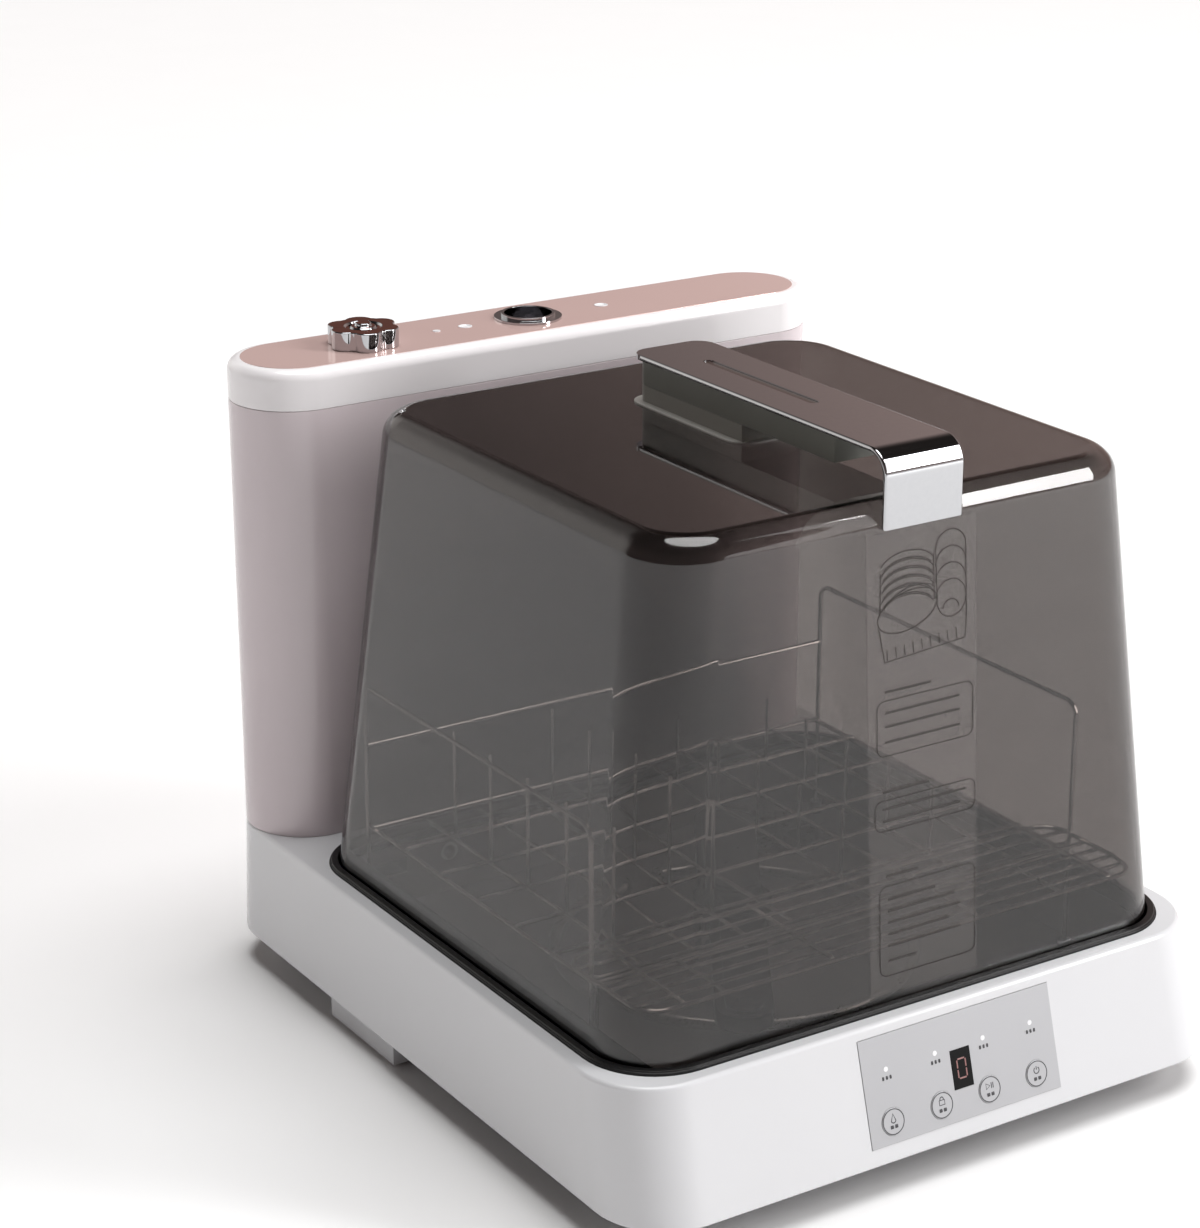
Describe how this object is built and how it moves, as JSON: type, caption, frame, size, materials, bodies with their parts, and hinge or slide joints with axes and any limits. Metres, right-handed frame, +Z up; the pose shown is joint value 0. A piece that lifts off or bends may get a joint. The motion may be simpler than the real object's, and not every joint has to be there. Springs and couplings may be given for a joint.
{
  "type": "countertop dishwasher",
  "caption": "Countertop dishwasher: smoked lift-off hood over a sloped white base, wire basket with spray arm, and a standing water tank behind.",
  "frame": {"origin": "centre of the footprint, on the worktop under the feet", "axes": "+Z up, +X to the right along the sloped front, +Y from the front to the water tank at the back"},
  "size_m": [0.426, 0.497, 0.419],
  "materials": {
    "white_plastic": "moulded, glossy white",
    "grey_plastic": "moulded, satin grey",
    "black_plastic": "moulded, satin black",
    "smoked_plastic": "clear smoked polycarbonate, polished",
    "rose_plate": "glossy rose trim plate",
    "silver_panel": "silver-grey panel film",
    "display_black": "black window",
    "chrome": "polished",
    "steel_wire": "bright stainless",
    "black_rubber": "matt",
    "natural_tank": "natural translucent",
    "guide_film": "clear film with grey outlines",
    "circuit_board": "solder-masked",
    "grip_plastic": "moulded, soft grey"
  },
  "bodies": {
    "base": {"base_shell": "white_plastic", "base_plate": "grey_plastic", "base_screws": "steel_wire", "rear_feet": "grey_plastic", "rubber_pads": "black_rubber", "front_feet": "black_rubber", "tub": "grey_plastic", "gasket": "black_rubber", "heater": "steel_wire", "spindle": "grey_plastic", "arm_cap": "black_plastic", "float_cage": "white_plastic", "wash_pump_volute": "white_plastic", "wash_pump_motor": "black_plastic", "suction_hose": "black_rubber", "pressure_hose": "black_rubber", "drain_pump": "black_plastic", "drain_hose": "black_rubber", "drain_outlet": "black_plastic", "power_inlet": "black_plastic", "power_board": "circuit_board", "front_panel": "silver_panel", "switches": "black_plastic", "lamp_pipes": "white_plastic", "display": "display_black", "control_board": "circuit_board", "column_shell": "white_plastic", "column_cover": "white_plastic", "top_plate": "rose_plate", "top_lamps": "rose_plate", "inner_tank": "natural_tank", "fill_ring": "chrome", "column_screws": "steel_wire", "fill_pump": "black_plastic", "fill_tube": "natural_tank", "fan_housing": "black_plastic", "air_duct": "grey_plastic"},
    "hood_lid": {"hood": "smoked_plastic", "handle_strip": "chrome", "handle_grip": "grip_plastic", "handle_plinth": "grip_plastic", "handle_screws": "steel_wire", "guide_film": "guide_film"},
    "dish_basket": {"basket": "steel_wire", "basket_frames": "steel_wire", "basket_tines": "steel_wire", "cutlery_shelf": "steel_wire", "basket_feet": "grey_plastic"},
    "filter": {"filter_cup": "steel_wire"},
    "wash_arm": {"spray_arm": "black_plastic"},
    "impeller": {"pump_impeller": "grey_plastic"},
    "dryer_fan": {"fan_rotor": "grey_plastic"},
    "float": {"sump_float": "black_plastic"},
    "tank_cap": {"filler_cap": "chrome"},
    "key_select": {"button_select": "silver_panel"},
    "key_lock": {"button_lock": "silver_panel"},
    "key_start": {"button_start": "silver_panel"},
    "key_power": {"button_power": "silver_panel"}
  },
  "joints": [
    {"name": "hood_lift", "type": "slide", "parent": "base", "child": "hood_lid", "axis": [0, 0, 1], "range_m": [0, 0.36]},
    {"name": "basket_lift", "type": "slide", "parent": "base", "child": "dish_basket", "axis": [0, 0, 1], "range_m": [0, 0.18]},
    {"name": "filter_lift", "type": "slide", "parent": "base", "child": "filter", "axis": [0, 0, 1], "range_m": [0, 0.072]},
    {"name": "wash_arm_spin", "type": "hinge", "parent": "base", "child": "wash_arm", "pos_m": [0, -0.0305, 0.08], "axis": [0, 0, 1], "continuous": true},
    {"name": "impeller_spin", "type": "hinge", "parent": "base", "child": "impeller", "pos_m": [0.06, 0.2045, 0.059], "axis": [1, 0, 0], "continuous": true},
    {"name": "dryer_fan_spin", "type": "hinge", "parent": "base", "child": "dryer_fan", "pos_m": [-0.15, 0.2085, 0.133], "axis": [0, 1, 0], "continuous": true},
    {"name": "float_rise", "type": "slide", "parent": "base", "child": "float", "axis": [0, 0, 1], "range_m": [0, 0.008]},
    {"name": "tank_cap_lift", "type": "slide", "parent": "base", "child": "tank_cap", "axis": [0, 0, 1], "range_m": [0, 0.06]},
    {"name": "key_select_press", "type": "slide", "parent": "base", "child": "key_select", "axis": [0, 0.9615, -0.2747], "range_m": [0, 0.0008], "stiffness_N_per_m": 600, "springref_m": -0.001},
    {"name": "key_lock_press", "type": "slide", "parent": "base", "child": "key_lock", "axis": [0, 0.9615, -0.2747], "range_m": [0, 0.0008], "stiffness_N_per_m": 600, "springref_m": -0.001},
    {"name": "key_start_press", "type": "slide", "parent": "base", "child": "key_start", "axis": [0, 0.9615, -0.2747], "range_m": [0, 0.0008], "stiffness_N_per_m": 600, "springref_m": -0.001},
    {"name": "key_power_press", "type": "slide", "parent": "base", "child": "key_power", "axis": [0, 0.9615, -0.2747], "range_m": [0, 0.0008], "stiffness_N_per_m": 600, "springref_m": -0.001}
  ],
  "couplings": [
    {"joint": "basket_lift", "follows": "hood_lift", "ratio": 0.5},
    {"joint": "filter_lift", "follows": "hood_lift", "ratio": 0.2}
  ]
}
